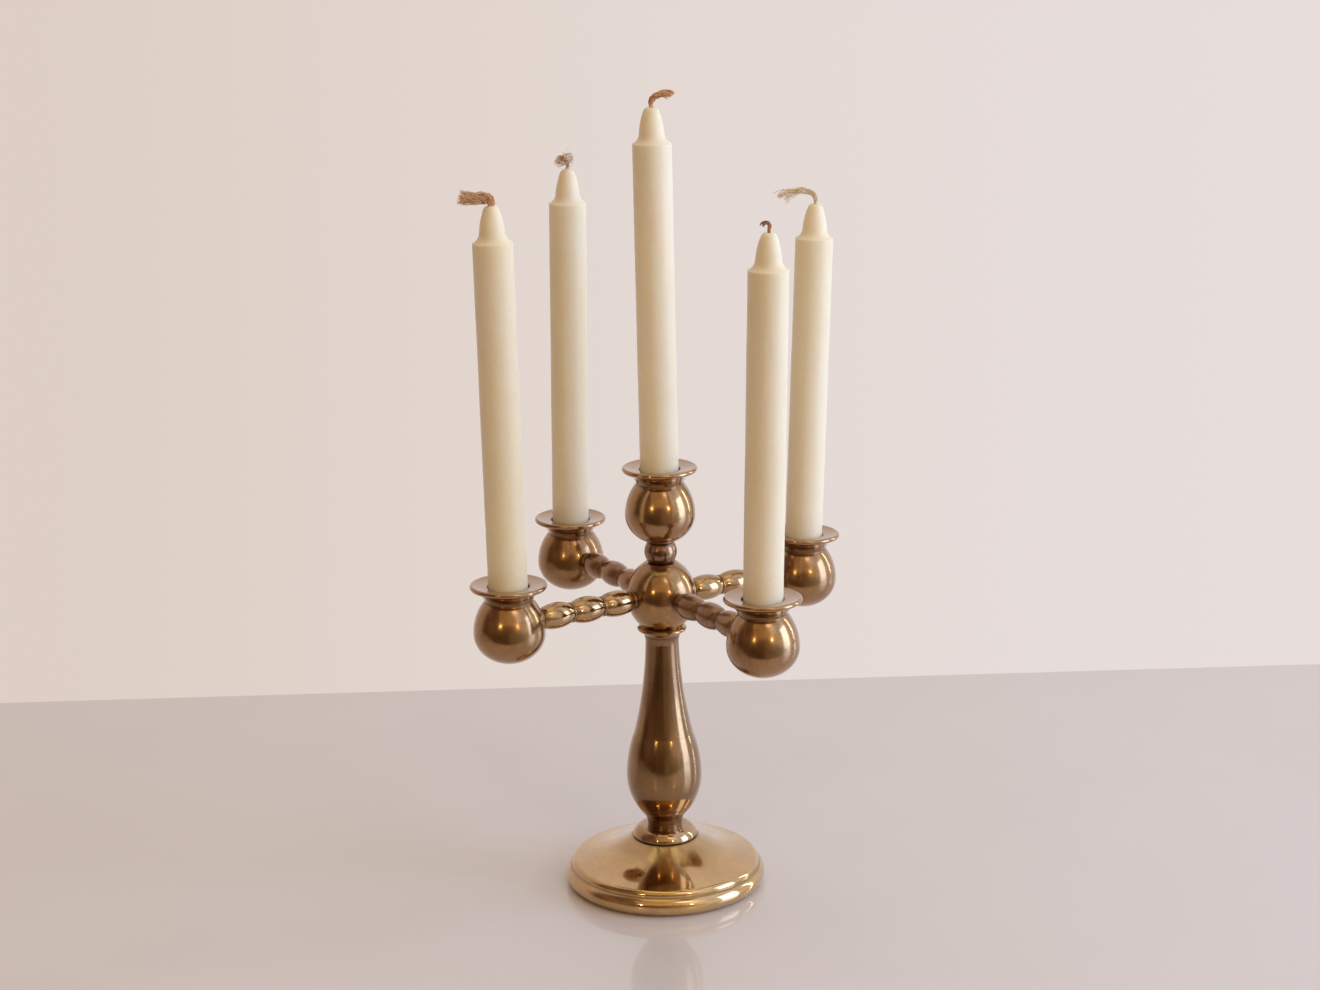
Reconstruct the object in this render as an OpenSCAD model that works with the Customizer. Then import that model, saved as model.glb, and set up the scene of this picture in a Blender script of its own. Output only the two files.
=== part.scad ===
// Five-light tabletop candelabra in turned brass, with candles and wicks.
// The foot stands on z = 0 and the stem stands on the Z axis.
// The four arms point along +X, +Y, -X and -Y, in that order.

/* [Foot] */
// Diameter across the half-round edge
foot_d = 116.5; // [95:0.5:150]
// Height of the half-round edge
foot_edge_h = 11.5; // [8:0.5:14]
// How far the band above the edge steps in
band_inset = 3.5; // [2:0.1:6]
// Height of the band above the edge
band_h = 3.8; // [2:0.1:6]
// How far the band leans in from its foot to its top
band_lean = 2.4; // [1:0.1:4]
// Width of the groove between the edge and the band
groove_w = 0.3; // [0.1:0.1:1]
// Height of the seat for the foot ring
foot_h = 27.9; // [23:0.1:40]
// Diameter of the seat for the foot ring
foot_seat_d = 39; // [36:0.5:50]
// How far the rise to the seat sinks below a straight cone
foot_sweep = 2.1; // [0:0.1:4]
// Diameter of the recess under the foot
recess_d = 42; // [30:1:45]
// Thickness of brass between the recess and the seat
foot_roof = 8; // [5:0.5:12]

/* [Foot ring] */
// Diameter of the ring at its foot
ring_d = 37.4; // [34:0.2:44]
// Diameter of the ring's top face
ring_top_d = 23.2; // [22:0.2:30]
// Height of the ring
ring_h = 7; // [4:0.5:12]

/* [Stem] */
// Length of the stem
stem_h = 116.1; // [100:0.5:150]
// Diameter of the stem where it stands on the ring
stem_foot_d = 19.8; // [16:0.2:22]
// Diameter of the stem's belly
belly_d = 43.8; // [36:0.2:50]
// Height of the belly's widest place above the stem's foot
belly_z = 31.6; // [28:0.5:40]
// Height of the cove's end, where the belly starts
cove_z = 8; // [6:0.2:12]
// Diameter where the cove ends
cove_d = 26.4; // [23:0.2:30]
// How far above its widest place the belly runs into the taper
taper_rise = 25.9; // [20:0.1:32]
// Diameter where the taper starts
taper_d = 33.8; // [28:0.2:36]
// Diameter of the stem's waist
waist_d = 19.4; // [16:0.2:22]
// How far the waist lies below the stem's top
waist_drop = 5.6; // [3:0.1:9]
// Diameter of the stem's top face
stem_top_d = 20.8; // [18:0.2:24]

/* [Collar] */
// Diameter of the collar's lip
collar_d = 28.4; // [26:0.2:36]
// Height of the collar
collar_h = 5.6; // [4.5:0.1:8]
// Thickness of the collar's floor
collar_floor = 3; // [2:0.1:4]
// Thickness of the collar's round lip
collar_lip_t = 1.4; // [1:0.1:2]

/* [Hub] */
// Diameter of the hub ball
hub_d = 41; // [36:0.5:50]
// Height of the hub ball before its ends are faced
hub_h = 44; // [38:0.5:52]
// How much is faced off the hub's foot
hub_foot_cut = 1.5; // [1:0.1:2.5]
// How much is faced off the hub's top
hub_top_cut = 2.3; // [1.5:0.1:3]

/* [Neck bead] */
// Diameter of the bead
bead_d = 18.8; // [16:0.2:24]
// Height of the bead between its two faces
bead_h = 12.1; // [9:0.1:14]
// Diameter of the bead's lower face
bead_face_d = 14; // [10:0.2:15.6]

/* [Cups] */
// Diameter of a cup's ball
cup_d = 40; // [36:0.5:50]
// Depth of the ball below its widest place
cup_low_h = 17.2; // [15:0.1:24]
// How much is faced off the centre cup's foot
cup_foot_cut = 1.1; // [0.5:0.1:2]
// Height of the neck above the widest place
cup_neck_z = 18.4; // [16:0.1:20]
// Diameter of the neck
cup_neck_d = 26.8; // [25.4:0.2:30]
// Diameter of the lip
lip_d = 42.8; // [38:0.2:56]
// Thickness of the lip at its edge
lip_t = 2.8; // [2:0.1:4]
// Height of the lip's top above the widest place
cup_top_z = 27.9; // [25:0.1:34]
// How far the top of the lip dips towards the socket
lip_dish = 1.3; // [0.5:0.1:2]
// Depth of the socket below the dished top
socket_depth = 24.6; // [18:0.1:26]

/* [Arms] */
// Reach of an arm, from the stem's axis to the cup's axis
arm_reach = 100; // [88:0.5:130]
// Height of an arm above its cup's widest place
arm_rise = 4.4; // [0:0.1:6]
// Diameter of a barrel
barrel_d = 14.8; // [12:0.1:18]
// Diameter of a barrel at its ends
barrel_end_d = 10.6; // [9:0.1:12]
// Width of the thin ring between two barrels
bead_ring_w = 1.4; // [1:0.1:2.5]
// Diameter of the thin ring between two barrels
bead_ring_d = 11.6; // [10:0.1:14]
// How far the plain end stands out of the hub ball
hub_end_show = 0.83; // [0.4:0.01:3]
// How far the plain end stands out of the cup's ball
cup_end_show = 0.16; // [0.1:0.01:3]
// Diameter of the plain end
arm_end_d = 10; // [8:0.1:11]
// Droop of each arm below level, in degrees
arm_droop = [1.5, -0.6, -0.4, -0.2]; // [-2:0.1:2]

/* [Fixings] */
// Diameter of the tie rod
rod_d = 6; // [5:0.5:8]
// Length of the tie rod in the centre cup
rod_grip = 9; // [6:0.5:12]
// Diameter of the washer
washer_d = 24; // [16:0.5:28]
// Thickness of the washer
washer_t = 2; // [1:0.1:3]
// Nut size across its flats
nut_af = 10; // [9:0.5:14]
// Thickness of the nut
nut_t = 5; // [4:0.5:7]
// Length of the rod below the nut
rod_tail = 3; // [1:0.5:5]
// Diameter of an arm's stud
stud_d = 5; // [4:0.5:6]
// Length of a stud in the hub, and in the arm
stud_grip = 10.5; // [6:0.5:11]
// Length of the pin turned on an arm's outer end
arm_pin_l = 4.5; // [3:0.5:5]

/* [Candles] */
// Diameter of a candle
candle_d = 22; // [18:0.1:23]
// Length of each candle up to its shoulder, the centre one first
candle_l = [207, 200, 215, 213.5, 202]; // [120:0.5:260]
// Lean of each candle towards +X and towards +Y, in degrees
candle_lean = [[-0.4, 0.2], [2.2, -0.4], [0.5, -0.8], [-0.5, 0.6], [1, -0.5]]; // [-2:0.1:3]
// Height of the moulded tip above the shoulder
tip_h = 19.8; // [12:0.2:26]
// Diameter of the tip just above the shoulder
tip_d = 14.2; // [10:0.2:17]
// Height of the tip's foot above the shoulder
tip_foot_h = 5.6; // [4:0.1:7]
// Diameter of the tip near its top
tip_top_d = 9.2; // [6:0.2:10]
// Height of the rounded top of the tip
tip_top_h = 2.6; // [1.5:0.1:4]
// Diameter of a wick
wick_d = 1.8; // [1.4:0.1:2.4]

/* [Clearances] */
// Gap around a candle in its socket
socket_gap = 0.5; // [0.4:0.05:1]
// Gap under a candle
candle_foot_gap = 0.3; // [0.2:0.05:0.6]
// Gap around a threaded rod or stud in its tapped hole
thread_gap = 0.05; // [0.03:0.01:0.1]
// Gap around a rod or screw that passes through a piece
pass_gap = 0.3; // [0.2:0.05:0.6]
// Gap around an arm's plain end in its counterbore
end_gap = 0.15; // [0.05:0.05:0.3]
// Gap around a wick in its candle
wick_gap = 0.1; // [0.05:0.05:0.2]
// Least depth of the counterbore for a plain end in the hub
hub_sink = 0.4; // [0.2:0.1:1]
// Least depth of the counterbore for a plain end in a cup
cup_sink = 0.1; // [0.1:0.1:1]

/* [Hidden] */

$fn = 72;
arc_step = 7;        // degrees of an arc in one straight piece
arms = 4;
barrels = 3;         // barrels on an arm
cut = 0.5;           // how far a cutting tool runs past a face
brass = "#b08a45";
steel = "#9a9a98";
wax = "#efe2c4";
cotton = "#cdb994";

// Heights of the stack, each from the piece below it
ring_z = foot_h;
stem_z = ring_z + ring_h;
collar_z = stem_z + stem_h;
hub_foot_z = collar_z + collar_floor;
arm_z = hub_foot_z + hub_h / 2 - hub_foot_cut;
hub_top_z = arm_z + hub_h / 2 - hub_top_cut;
cup_foot_z = hub_top_z + bead_h;
centre_cup_z = cup_foot_z + cup_low_h - cup_foot_cut;
recess_z = foot_h - foot_roof;
hub_foot_r = oval_r(hub_d / 2, hub_h / 2, hub_h / 2 - hub_foot_cut);

// A cup's own sizes, above its widest place
cup_high_h = cup_neck_z / sqrt(1 - pow(cup_neck_d / cup_d, 2));
dish_z = cup_top_z - lip_dish;
socket_d = candle_d + 2 * socket_gap;
socket_floor = dish_z - socket_depth;
socket_mid = dish_z - socket_depth / 2;

// Where an arm's ends sit, along the arm from the stem's axis
hub_face = oval_r(hub_d / 2, hub_h / 2, arm_end_d / 2 + end_gap) - hub_sink;
cup_face = oval_r(cup_d / 2, cup_high_h, arm_rise + arm_end_d / 2 + end_gap) - cup_sink;
arm_l = arm_reach - hub_face - cup_face;
hub_end_l = hub_d / 2 - hub_face + hub_end_show;
cup_end_l = cup_d / 2 - cup_face + cup_end_show;
barrel_l = (arm_l - hub_end_l - cup_end_l - (barrels - 1) * bead_ring_w) / barrels;

// The free ends of the wicks: points from the middle of a tip's top, in millimetres
wick_routes = [
    [[0, 0, 2], [0.3, -0.2, 4.5], [2.2, -1.4, 7.2], [5, -3.2, 8.6], [8, -5.1, 8.2], [9.4, -6, 6.4]],
    [[0.2, -0.1, 2], [-0.6, 0.4, 4.6], [-3, 1.9, 6.6], [-6.6, 4.2, 7.2], [-11, 7.1, 6],
        [-15, 9.7, 4.4], [-17, 11, 1.6]],
    [[0, 0, 2], [-0.6, 0.4, 4.6], [-3.2, 2, 6.8], [-5.4, 3.5, 4.6], [-3.6, 3.2, 2.4],
        [-0.6, 2, 4.2], [2, 0.6, 7.6]],
    [[0, 0, 1.6], [-1, 0.6, 3.4], [-4, 2.6, 4], [-8, 5.2, 3.9], [-11.6, 7.5, 4.6], [-14.4, 9.3, 5.6]],
    [[0, 0, 1.8], [0.2, -0.1, 3.6], [-0.8, 0.5, 5], [-2.6, 1.7, 4.4], [-3.4, 2.2, 3]]
];

// Radius of an oval of half-width a and half-height b, at height z from its middle
function oval_r(a, b, z) = a * sqrt(1 - pow(z / b, 2));

// Points of an oval of half-width a and half-height b around height z0, between two heights
function oval(a, b, z0, low, high) =
    let(t0 = asin((low - z0) / b), t1 = asin((high - z0) / b), n = ceil((t1 - t0) / arc_step))
    [for (i = [0:n]) let(t = t0 + (t1 - t0) * i / n) [a * cos(t), z0 + b * sin(t)]];

// Points of an arc from p to q that stands s to the left of the straight line
function arc(p, q, s) =
    let(d = q - p, l = norm(d), along = d / l, left = [-along[1], along[0]] * sign(s),
        r = (l * l / 4 + s * s) / (2 * abs(s)), half = asin(l / 2 / r),
        centre = (p + q) / 2 - left * (r - abs(s)), n = max(2, ceil(2 * half / arc_step)))
    [for (i = [0:n]) let(t = half * (2 * i / n - 1)) centre + r * (cos(t) * left + sin(t) * along)];

// An outline through points, where curve i bows out of straight by bows[i], positive to its left
function bowed(points, bows) = [for (i = [0:len(bows) - 1]) each arc(points[i], points[i + 1], bows[i])];

// A turned piece: the outline runs upwards and is closed along the axis
module turned(outline) {
    rotate_extrude()
        polygon(concat([[0, outline[0][1]]], outline, [[0, outline[len(outline) - 1][1]]]));
}

// A hole of diameter d from height z0 to height z1
module bore(d, z0, z1) {
    translate([0, 0, z0]) cylinder(d = d, h = z1 - z0);
}

// Turns a piece that was drawn upright so that it lies along arm i, from the hub outwards
module along_arm(i) {
    rotate([0, 0, 360 / arms * i]) translate([0, 0, arm_z]) rotate([0, 90 + arm_droop[i], 0]) children();
}

// Puts a cup's middle at the end of arm i
module on_arm(i) {
    rotate([0, 0, 360 / arms * i]) translate([0, 0, arm_z]) rotate([0, arm_droop[i], 0])
        translate([arm_reach, 0, -arm_rise]) children();
}

// The point at height h in the cup of arm i
function cup_point(i, h) =
    let(a = 360 / arms * i, t = arm_droop[i], out = arm_reach * cos(t) + (h - arm_rise) * sin(t))
    [out * cos(a), out * sin(a), arm_z - arm_reach * sin(t) + (h - arm_rise) * cos(t)];

// The point in each socket that its candle leans about, the centre one first
candle_pivots = concat([[0, 0, centre_cup_z + socket_mid]],
    [for (i = [0:arms - 1]) cup_point(i, socket_mid)]);

// Puts a candle's foot in socket k, 0 for the centre one
module in_socket(k) {
    translate(candle_pivots[k]) rotate([-candle_lean[k][1], candle_lean[k][0], 0])
        translate([0, 0, candle_foot_gap - socket_depth / 2]) children();
}

module foot() {
    edge_r = foot_edge_h / 2;
    edge_x = foot_d / 2 - edge_r;
    edge_top = 60; // degrees round the edge where the band's groove starts
    groove = [edge_x + edge_r * cos(edge_top), edge_r * (1 + sin(edge_top))];
    band_foot = [foot_d / 2 - band_inset, groove[1] + groove_w];
    band_top = band_foot + [-band_lean, band_h];
    band_bow = -1;
    seat = [foot_seat_d / 2, foot_h];
    color(brass) difference() {
        turned(concat(
            [for (t = [-90:arc_step:edge_top]) [edge_x + edge_r * cos(t), edge_r * (1 + sin(t))]],
            [groove], bowed([band_foot, band_top, seat], [band_bow, foot_sweep])));
        bore(recess_d, -cut, recess_z);
        bore(rod_d + 2 * pass_gap, recess_z - cut, foot_h + cut);
    }
}

module foot_ring() {
    ease = [0.6, 1.2]; // how far the foot of the ring is rounded off, inwards and upwards
    edge = [ring_d / 2, ease[1]];
    color(brass) translate([0, 0, ring_z]) difference() {
        turned(bowed([edge - ease, edge, [ring_top_d / 2, ring_h]], [-0.15, -1.7]));
        bore(rod_d + 2 * pass_gap, -cut, ring_h + cut);
    }
}

module stem() {
    outline = [[stem_foot_d / 2, 0], [cove_d / 2, cove_z], [belly_d / 2, belly_z],
        [taper_d / 2, belly_z + taper_rise], [waist_d / 2, stem_h - waist_drop], [stem_top_d / 2, stem_h]];
    color(brass) translate([0, 0, stem_z]) difference() {
        turned(bowed(outline, [0.9, -2.3, -1.1, 1.4, 0.3]));
        bore(rod_d + 2 * pass_gap, -cut, stem_h + cut);
    }
}

module hub_collar() {
    edge = collar_lip_t / 2;
    lip_low = [collar_d / 2 - edge, collar_h - collar_lip_t];
    lip_high = [collar_d / 2 - edge, collar_h];
    rim = [collar_d / 2 - 1, collar_h - 0.2]; // where the dish starts inside the lip
    seat_gap = 0.8; // how much wider than the hub's foot the floor of the dish is
    color(brass) translate([0, 0, collar_z]) difference() {
        turned(bowed([[stem_top_d / 2, 0], lip_low, lip_high], [0.5, -edge]));
        rotate_extrude() polygon([[0, collar_floor], [hub_foot_r + seat_gap, collar_floor], rim,
            [rim[0], collar_h + cut], [0, collar_h + cut]]);
        bore(rod_d + 2 * pass_gap, -cut, collar_h);
    }
}

module hub() {
    color(brass) difference() {
        turned(oval(hub_d / 2, hub_h / 2, arm_z, hub_foot_z, hub_top_z));
        bore(rod_d + 2 * pass_gap, hub_foot_z - cut, hub_top_z + cut);
        for (i = [0:arms - 1]) along_arm(i) {
            bore(stud_d + 2 * thread_gap, hub_face - stud_grip - cut, hub_face + cut);
            bore(arm_end_d + 2 * end_gap, hub_face, hub_d);
        }
    }
}

module neck_bead() {
    middle_z = sqrt(pow(bead_d / 2, 2) - pow(bead_face_d / 2, 2));
    color(brass) translate([0, 0, hub_top_z]) difference() {
        turned(oval(bead_d / 2, bead_d / 2, middle_z, 0, bead_h));
        bore(rod_d + 2 * pass_gap, -cut, bead_h + cut);
    }
}

// A cup around its own widest place, with its foot faced off at foot_z
module cup_body(foot_z) {
    edge = lip_t / 2;
    neck = [cup_neck_d / 2, cup_neck_z + 0.4]; // a short straight neck below the cove
    lip_low = [lip_d / 2 - edge, cup_top_z - lip_t];
    lip_high = [lip_d / 2 - edge, cup_top_z];
    mouth = [socket_d / 2 + 0.5, dish_z];
    upper_foot = 2; // the upper oval's first point, a step above the widest place
    difference() {
        turned(concat(oval(cup_d / 2, cup_low_h, 0, foot_z, 0),
            oval(cup_d / 2, cup_high_h, 0, upper_foot, cup_neck_z),
            bowed([neck, lip_low, lip_high, mouth], [0.9, 0.01 - edge, 0.25])));
        bore(socket_d, socket_floor, cup_top_z);
    }
}

module cup_centre() {
    color(brass) translate([0, 0, centre_cup_z]) difference() {
        cup_body(cup_foot_cut - cup_low_h);
        bore(rod_d + 2 * thread_gap, -cup_low_h, cup_foot_cut - cup_low_h + rod_grip + cut);
    }
}

module cup(i) {
    color(brass) difference() {
        on_arm(i) cup_body(-cup_low_h);
        along_arm(i) {
            bore(arm_end_d + 2 * end_gap, arm_reach - cup_d, arm_reach - cup_face);
            bore(stud_d + 2 * thread_gap, arm_reach - cup_d, arm_reach - cup_face + arm_pin_l + cut);
        }
    }
}

module arm(i) {
    half = barrel_l / 2;
    long = half / sqrt(1 - pow(barrel_end_d / barrel_d, 2));
    pitch = barrel_l + bead_ring_w;
    first = hub_end_l + half;
    ring_bulge = (bead_ring_d - barrel_end_d) / 2;
    nick = 0.05; // the thin ring starts and ends this far from its barrels
    color(brass) along_arm(i) difference() {
        union() {
            translate([0, 0, hub_face]) turned(concat(
                [[arm_end_d / 2, 0], [arm_end_d / 2, hub_end_l]],
                [for (k = [0:barrels - 1], p = concat(
                    oval(barrel_d / 2, long, first + pitch * k, first + pitch * k - half,
                        first + pitch * k + half),
                    k == barrels - 1 ? [] : arc([barrel_end_d / 2, first + pitch * k + half + nick],
                        [barrel_end_d / 2, first + pitch * (k + 1) - half - nick], -ring_bulge))) p],
                [[arm_end_d / 2, arm_l - cup_end_l], [arm_end_d / 2, arm_l]]));
            bore(stud_d, hub_face + arm_l - cut, hub_face + arm_l + arm_pin_l);
        }
        bore(stud_d + 2 * thread_gap, hub_face - cut, hub_face + stud_grip + cut);
    }
}

module tie_rod() {
    color(steel) bore(rod_d, recess_z - washer_t - nut_t - rod_tail, cup_foot_z + rod_grip);
}

module foot_washer() {
    color(steel) difference() {
        bore(washer_d, recess_z - washer_t, recess_z);
        bore(rod_d + 2 * pass_gap, recess_z - washer_t - cut, recess_z + cut);
    }
}

module foot_nut() {
    color(steel) translate([0, 0, recess_z - washer_t - nut_t]) difference() {
        cylinder(d = nut_af / cos(30), h = nut_t, $fn = 6);
        bore(rod_d + 2 * thread_gap, -cut, nut_t + cut);
    }
}

module arm_studs() {
    color(steel) for (i = [0:arms - 1])
        along_arm(i) bore(stud_d, hub_face - stud_grip, hub_face + stud_grip);
}

module candle(k) {
    l = candle_l[k];
    shoulder = [candle_d / 2 - 0.4, l + 0.3]; // the shoulder's edge is eased off
    tip_foot = [tip_d / 2, l + tip_foot_h];
    tip_top = [tip_top_d / 2, l + tip_h - tip_top_h];
    color(wax) in_socket(k) difference() {
        turned(concat([[candle_d / 2, 0], [candle_d / 2, l]],
            bowed([shoulder, tip_foot, tip_top, [tip_top_d / 4, l + tip_h]], [0.9, -0.4, -0.4])));
        bore(wick_d + 2 * wick_gap, -cut, l + tip_h + cut);
    }
}

// A tube of diameter d along a list of points, with a ring of sides at each point
module tube(points, d) {
    sides = 8;
    n = len(points);
    aside = [0.54, 0.84, 0.02]; // a direction that no wick runs along
    function unit(v) = v / norm(v);
    function dir(i) = unit(points[min(i + 1, n - 1)] - points[max(i - 1, 0)]);
    rings = [for (i = [0:n - 1]) let(t = dir(i), u = unit(cross(t, aside)), w = cross(t, u))
        for (k = [0:sides - 1]) points[i] + d / 2 * (cos(360 / sides * k) * u + sin(360 / sides * k) * w)];
    walls = [for (i = [0:n - 2], k = [0:sides - 1]) let(a = i * sides, b = a + sides, m = (k + 1) % sides)
        each [[a + k, b + k, b + m], [a + k, b + m, a + m]]];
    polyhedron(rings, concat([[for (k = [0:sides - 1]) k]], walls,
        [[for (k = [sides - 1:-1:0]) (n - 1) * sides + k]]));
}

module wick(k) {
    top = candle_l[k] + tip_h;
    foot_end = [0, 0, 1]; // the wick ends just above the candle's foot
    color(cotton) in_socket(k)
        tube(concat([foot_end, [0, 0, top]], [for (p = wick_routes[k]) p + [0, 0, top]]), wick_d);
}

foot();
foot_ring();
stem();
hub_collar();
hub();
neck_bead();
cup_centre();
for (i = [0:arms - 1]) {
    arm(i);
    cup(i);
}
tie_rod();
foot_nut();
foot_washer();
arm_studs();
candle(0);  // candle_centre
wick(0);  // wick_centre
for (i = [0:arms - 1]) {
    candle(i + 1);
    wick(i + 1);
}
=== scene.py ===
import math
import random

import bmesh
import bpy
import numpy as np
from mathutils import Matrix, Vector
from mathutils.noise import noise as noise_of


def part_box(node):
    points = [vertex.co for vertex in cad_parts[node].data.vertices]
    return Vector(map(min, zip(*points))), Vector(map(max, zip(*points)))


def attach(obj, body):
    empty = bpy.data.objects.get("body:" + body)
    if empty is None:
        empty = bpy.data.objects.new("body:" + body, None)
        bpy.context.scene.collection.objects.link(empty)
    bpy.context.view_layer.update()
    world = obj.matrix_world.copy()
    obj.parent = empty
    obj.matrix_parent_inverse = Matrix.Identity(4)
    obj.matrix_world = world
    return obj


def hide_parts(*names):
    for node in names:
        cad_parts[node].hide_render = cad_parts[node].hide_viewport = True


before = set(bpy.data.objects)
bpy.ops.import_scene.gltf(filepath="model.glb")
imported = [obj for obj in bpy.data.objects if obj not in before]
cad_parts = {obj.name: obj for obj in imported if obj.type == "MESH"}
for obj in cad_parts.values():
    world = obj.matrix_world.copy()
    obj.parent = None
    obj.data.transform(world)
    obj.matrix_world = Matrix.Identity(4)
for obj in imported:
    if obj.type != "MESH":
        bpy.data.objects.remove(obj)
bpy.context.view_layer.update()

# ---------------------------------------------------------------------------
# Foot
# A heavy cast brass disc, turned all over: a half-round edge, a narrow band
# above it and a trumpet-shaped rise to the seat of the stem. Underneath is
# the recess for the nut. Polished once, since stained by hands and wax.
# ---------------------------------------------------------------------------
mm = 0.001


def arc(p, q, s, step=4):
    """Points of an arc from p to q that stands s to the left of the straight line."""
    p, q = Vector(p), Vector(q)
    chord = (q - p).length
    along = (q - p) / chord
    left = Vector((-along.y, along.x)) * math.copysign(1, s)
    radius = (chord * chord / 4 + s * s) / (2 * abs(s))
    half = math.asin(min(1, chord / 2 / radius))
    centre = (p + q) / 2 - left * (radius - abs(s))
    n = max(3, math.ceil(2 * math.degrees(half) / step))
    turns = [half * (2 * i / n - 1) for i in range(n + 1)]
    return [tuple(centre + radius * (math.cos(t) * left + math.sin(t) * along)) for t in turns]


def oval(a, b, middle, low, high, step=4):
    """Points of an oval of half-width a and half-height b, between two heights."""
    t0 = math.asin(max(-1, (low - middle) / b))
    t1 = math.asin(min(1, (high - middle) / b))
    n = max(3, math.ceil(math.degrees(t1 - t0) / step))
    turns = [t0 + (t1 - t0) * i / n for i in range(n + 1)]
    return [(a * math.cos(t), middle + b * math.sin(t)) for t in turns]


def soften(points, radius):
    """Rounds every sharp corner of an outline; the rounding takes radius from each side of it."""
    soft = [points[0]]
    for a, b, c in zip(points, points[1:], points[2:]):
        a, b, c = Vector(a), Vector(b), Vector(c)
        before, after = a - b, c - b
        if before.length and after.length and before.angle(after) < math.radians(152):
            cut = min(radius, 0.45 * before.length, 0.45 * after.length)
            p, q = b + before.normalized() * cut, b + after.normalized() * cut
            soft += [tuple(p * (1 - t) ** 2 + b * 2 * t * (1 - t) + q * t * t)
                     for t in (0, 0.2, 0.4, 0.6, 0.8, 1)]
        else:
            soft.append(tuple(b))
    return soft + [points[-1]]


def ring_fade(mesh, name, rings):
    """Writes an attribute that is 1 on each ring (middle, axis, radius, width) and fades away from it."""
    at = points_of(mesh)
    ring_marks = np.zeros(len(at))
    for middle, axis, radius, width in rings:
        offset = at - np.array(middle)
        along = offset @ np.array(axis)
        across = np.sqrt(np.maximum(0, (offset ** 2).sum(1) - along ** 2))
        ring_marks = np.maximum(ring_marks, np.exp(-np.hypot(along, across - radius) / width))
    mesh.attributes.new(name, "FLOAT", "POINT").data.foreach_set("value", ring_marks)


def points_of(mesh):
    """A mesh's points in millimetres."""
    flat = np.empty(len(mesh.vertices) * 3)
    mesh.vertices.foreach_get("co", flat)
    return flat.reshape(-1, 3) / mm


def turn(name, outline, rings=(), place=Matrix(), round_off=0.3, steps=144, films=()):
    """Spins an outline in millimetres round its axis, marks its rings with dirt and painted shade and with
    film, and puts it in its place.
    """
    bm = bmesh.new()
    verts = [bm.verts.new((r * mm, 0, z * mm)) for r, z in soften(outline, round_off)]
    for a, b in zip(verts, verts[1:]):
        bm.edges.new((a, b))
    bmesh.ops.spin(bm, geom=bm.verts[:] + bm.edges[:], cent=(0, 0, 0), axis=(0, 0, 1),
                   angle=math.tau, steps=steps, use_merge=True, use_duplicate=False)
    bmesh.ops.remove_doubles(bm, verts=bm.verts, dist=1e-6)
    bmesh.ops.recalc_face_normals(bm, faces=bm.faces)
    piece = piece_of(name, bm)
    ring_fade(piece.data, "grime_and_shade", rings)
    ring_fade(piece.data, "film", films)
    piece.data.transform(place)
    piece.modifiers.new("face_weighted", "WEIGHTED_NORMAL")
    return piece


def groove_ring(r, z, width):
    """A ring round a turned piece's own axis: dirt with painted shade in a groove, and also used for films.
    """
    return ((0, 0, z), (0, 0, 1), r, width)


def piece_of(name, bm):
    """A smooth-shaded object at the origin from a finished bmesh."""
    mesh = bpy.data.meshes.new(name)
    bm.to_mesh(mesh)
    bm.free()
    mesh.shade_smooth()
    piece = bpy.data.objects.new(name, mesh)
    bpy.context.scene.collection.objects.link(piece)
    return piece


def new_group(name, inputs, outputs):
    """An empty shader group. Inputs are (name, value) and outputs are (name, socket type)."""
    group = bpy.data.node_groups.new(name, "ShaderNodeTree")
    for label, value in inputs:
        kind = "NodeSocketColor" if isinstance(value, tuple) else "NodeSocketFloat"
        socket = group.interface.new_socket(label, in_out="INPUT", socket_type=kind)
        socket.default_value = (*value, 1) if isinstance(value, tuple) else value
    for label, kind in outputs:
        group.interface.new_socket(label, in_out="OUTPUT", socket_type=kind)
    return group


def put(tree, kind, **settings):
    """Adds a node; settings are its properties, or its inputs where the name is one."""
    node = tree.nodes.new(kind)
    for key, value in settings.items():
        if hasattr(node, key):
            setattr(node, key, value)
        else:
            socket = node.inputs[key.replace("_", " ")]
            if isinstance(value, bpy.types.NodeSocket):
                tree.links.new(value, socket)
            else:
                socket.default_value = value
    return node


def ramp(tree, factor, stops):
    """A colour ramp over a factor; stops are (position, colour or grey)."""
    node = tree.nodes.new("ShaderNodeValToRGB")
    tree.links.new(factor, node.inputs["Fac"])
    while len(node.color_ramp.elements) < len(stops):
        node.color_ramp.elements.new(0.5)
    for element, (position, colour) in zip(node.color_ramp.elements, stops):
        element.position = position
        element.color = (*colour, 1) if isinstance(colour, tuple) else (colour, colour, colour, 1)
    return node.outputs["Color"]


def mix(tree, factor, a, b, blend="MIX"):
    """Mixes two colours, each a colour or a socket."""
    node = tree.nodes.new("ShaderNodeMix")
    node.data_type, node.blend_type = "RGBA", blend
    for socket, value in ((node.inputs[0], factor), (node.inputs[6], a), (node.inputs[7], b)):
        if isinstance(value, bpy.types.NodeSocket):
            tree.links.new(value, socket)
        elif isinstance(value, tuple):
            socket.default_value = (*value, 1)
        else:
            socket.default_value = value
    return node.outputs[2]


def maths(tree, operation, a, b=0.0, clamp=False):
    """A Math node over two sockets or numbers."""
    node = tree.nodes.new("ShaderNodeMath")
    node.operation, node.use_clamp = operation, clamp
    for socket, value in zip(node.inputs, (a, b)):
        if isinstance(value, bpy.types.NodeSocket):
            tree.links.new(value, socket)
        else:
            socket.default_value = value
    return node.outputs[0]


def noise(tree, point, scale, detail=4, roughness=0.55, distortion=0.0):
    """The value of a noise texture at a point."""
    node = put(tree, "ShaderNodeTexNoise", Scale=scale, Detail=detail, Roughness=roughness,
               Distortion=distortion)
    tree.links.new(point, node.inputs["Vector"])
    return node.outputs["Fac"]


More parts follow.
